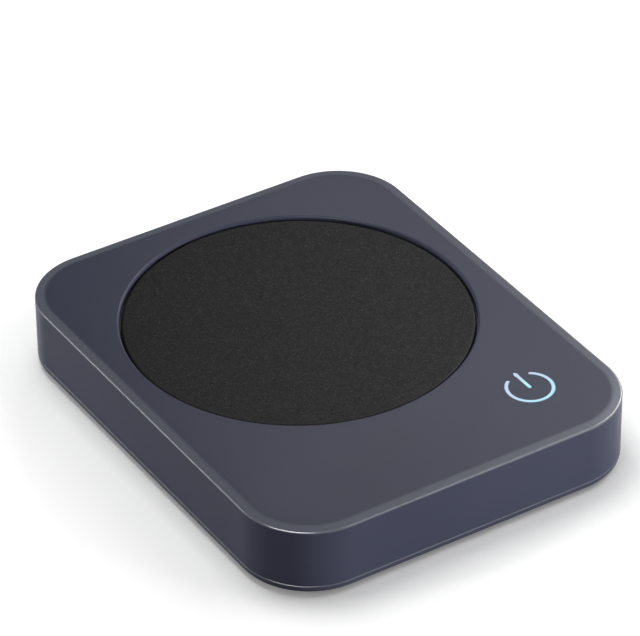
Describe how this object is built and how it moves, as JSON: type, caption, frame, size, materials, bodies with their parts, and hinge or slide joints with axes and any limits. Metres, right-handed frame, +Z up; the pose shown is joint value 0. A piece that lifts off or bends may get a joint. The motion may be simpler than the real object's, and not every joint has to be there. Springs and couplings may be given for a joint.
{
  "type": "electric mug warmer",
  "caption": "Flat rounded desk mug warmer with a round heated plate let into its top face, a glowing touch power symbol, rubber feet and a rear low-voltage inlet.",
  "frame": {"origin": "on the desk, below the middle of the body", "axes": "+Z up out of the heated plate, +Y away from the user towards the power inlet, +X to the user's right, towards the power symbol"},
  "size_m": [0.11, 0.1366, 0.0204],
  "materials": {
    "housing": "fine satin moulded plastic, slate blue-grey",
    "cover": "fine matt moulded plastic, a shade darker than the housing",
    "foot_rubber": "matt black rubber",
    "screw_steel": "zinc plated steel",
    "plate_coating": "black non-stick coating with fine speckle",
    "seal_silicone": "black silicone",
    "element_foil": "amber film heater",
    "pad_wool": "pressed white ceramic fibre",
    "retainer_steel": "pressed plated steel",
    "sensor_epoxy": "black epoxy",
    "fuse_case": "pale glazed fuse case",
    "wire_insulation": "silicone wire insulation",
    "symbol_light": "clear moulding lit pale cyan from below",
    "baffle_plastic": "matt black plastic",
    "spring_steel": "gold plated spring wire",
    "led_package": "white LED package",
    "board_laminate": "green circuit board laminate",
    "chip_plastic": "black moulded component",
    "capacitor_can": "aluminium can",
    "connector_nylon": "ivory nylon",
    "socket_plastic": "black moulded plastic",
    "contact_metal": "nickel plated contact"
  },
  "bodies": {
    "root": {"top_housing": "housing", "bottom_cover": "cover", "rubber_feet": "foot_rubber", "housing_screws": "screw_steel", "heating_plate": "plate_coating", "plate_seal": "seal_silicone", "heating_element": "element_foil", "insulation_pad": "pad_wool", "heater_retainer": "retainer_steel", "retainer_screws": "screw_steel", "temperature_sensor": "sensor_epoxy", "sensor_leads": "wire_insulation", "thermal_fuse": "fuse_case", "fuse_clip": "retainer_steel", "heater_leads": "wire_insulation", "symbol_lens": "symbol_light", "light_baffle": "baffle_plastic", "touch_spring": "spring_steel", "status_leds": "led_package", "control_board": "board_laminate", "board_screws": "screw_steel", "microcontroller": "chip_plastic", "power_transistor": "chip_plastic", "filter_capacitor": "capacitor_can", "heater_connector": "connector_nylon", "sensor_connector": "connector_nylon", "power_connector": "connector_nylon", "dc_socket": "socket_plastic", "socket_pin": "contact_metal", "socket_terminals": "contact_metal", "power_leads": "wire_insulation"}
  },
  "joints": []
}
